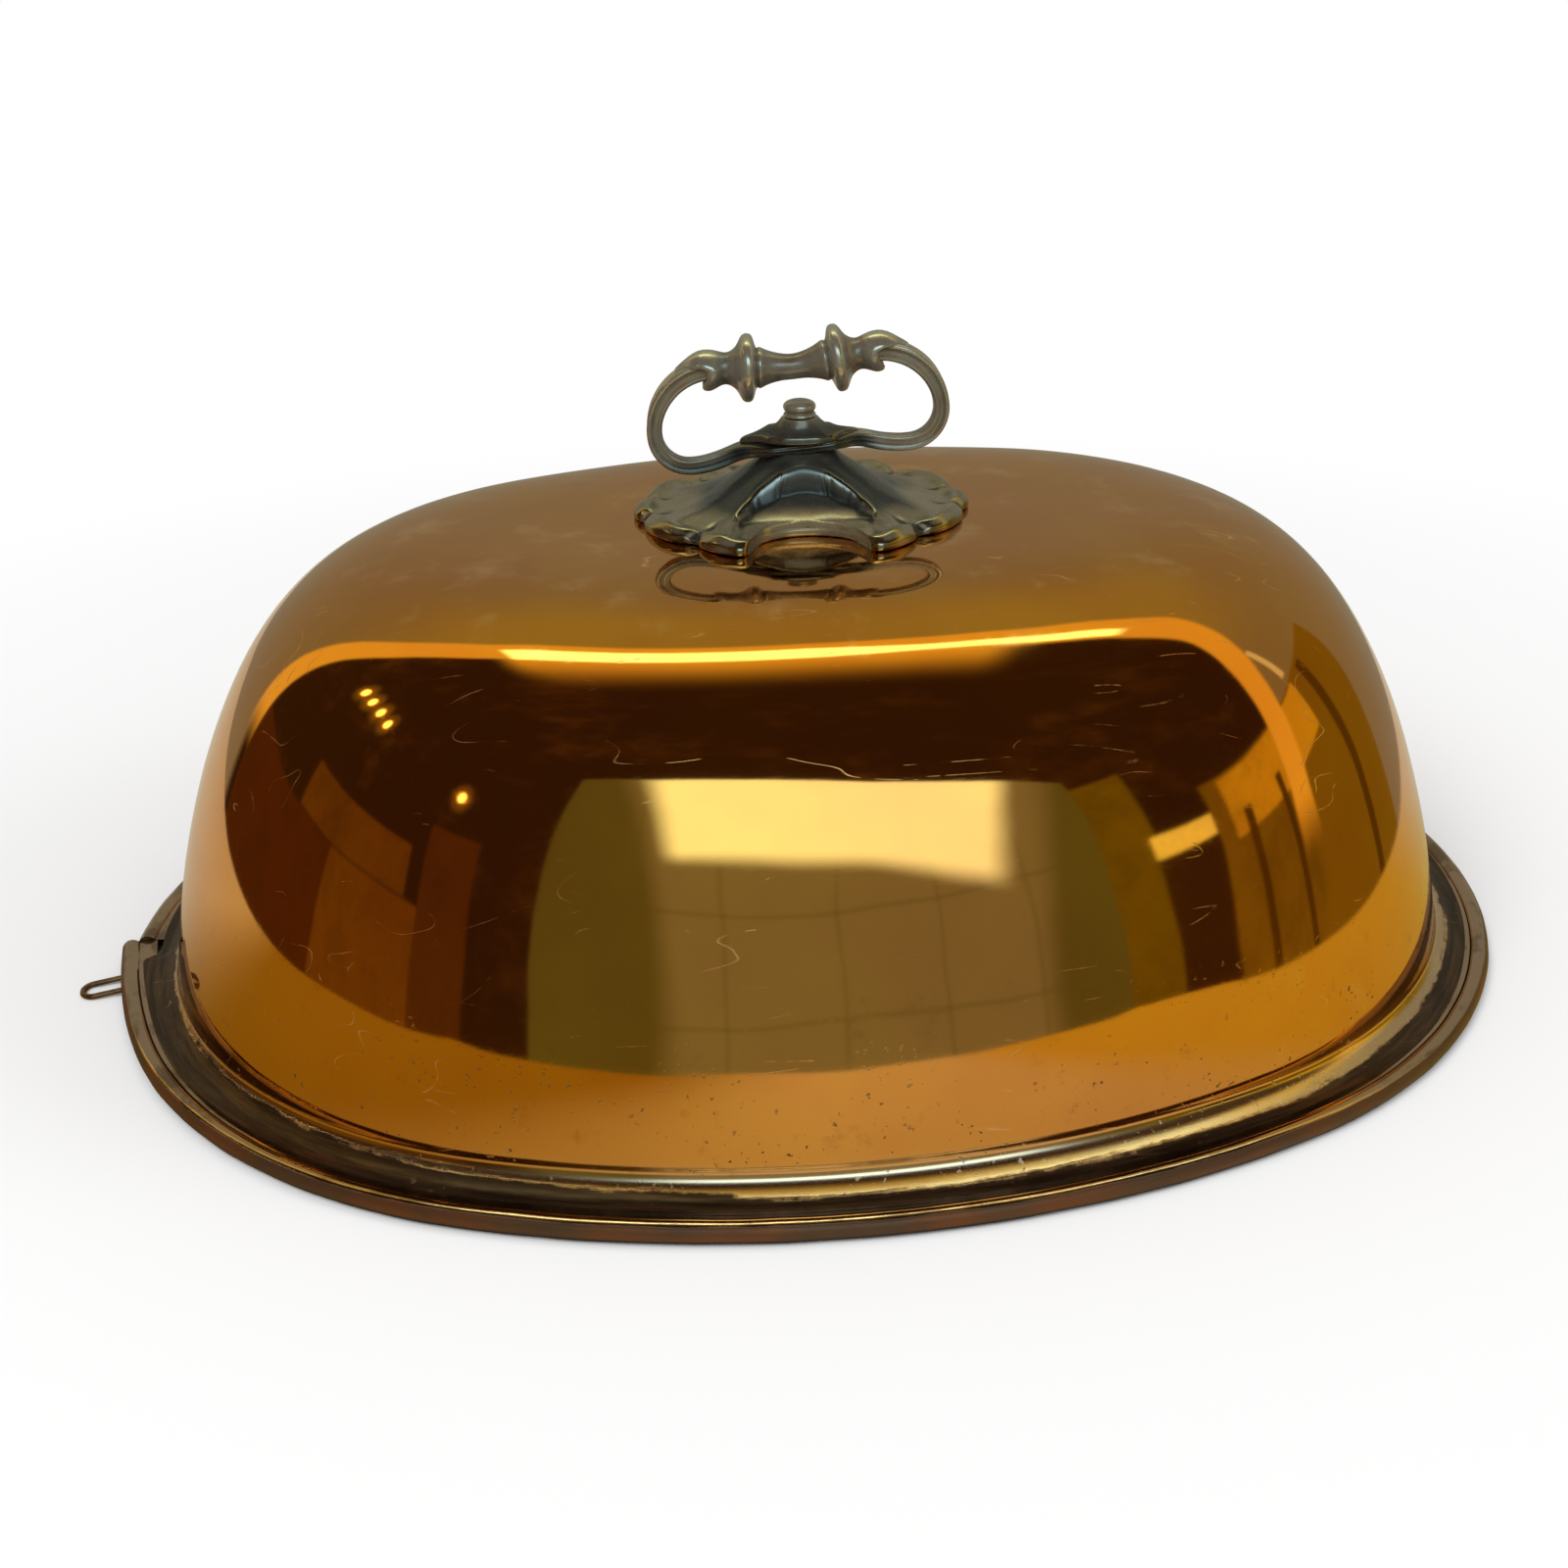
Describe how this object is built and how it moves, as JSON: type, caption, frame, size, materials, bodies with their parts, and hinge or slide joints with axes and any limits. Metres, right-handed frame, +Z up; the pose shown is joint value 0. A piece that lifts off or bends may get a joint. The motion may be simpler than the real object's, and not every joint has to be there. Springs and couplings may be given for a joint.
{
  "type": "oval dish cover",
  "caption": "Deep oval copper dish cover with a flat crown, a wired and rolled rim, a wire hanging ring and a cast bail handle on a scalloped base.",
  "frame": {"origin": "middle of the oval mouth, on the plane of the table that the rim rests on", "axes": "+X along the cover's length, +Y across it, away from the side that is seen, +Z up through the handle"},
  "size_m": [0.5246, 0.4064, 0.2252],
  "materials": {
    "copper_sheet": "polished copper sheet, hand burnished, darkened and pitted beside the rim",
    "rim_copper": "brown, worn copper strip rolled over a wire",
    "iron_wire": "plain drawn iron wire",
    "ring_wire": "dull coppered wire",
    "pewter_casting": "dark grey tarnished white metal, rubbed bright on its edges",
    "iron_stud": "turned iron rod",
    "tinned_washer": "tinned plate",
    "brass_nut": "dull yellow brass"
  },
  "bodies": {
    "cover": {"dome_shell": "copper_sheet", "rim_strip": "rim_copper", "rim_wire": "iron_wire", "handle_base": "pewter_casting", "handle_frame": "pewter_casting", "handle_grip": "pewter_casting", "cap_leaf": "pewter_casting", "finial_nut": "pewter_casting", "through_stud": "iron_stud", "inner_washer": "tinned_washer", "inner_nut": "brass_nut"},
    "ring": {"hanging_ring": "ring_wire"}
  },
  "joints": [
    {"name": "ring_swing", "type": "hinge", "parent": "cover", "child": "ring", "pos_m": [-0.25233, -0.0108, 0.0022], "axis": [-0.1613, 0.9869, 0], "range_deg": [-86, 14]}
  ]
}
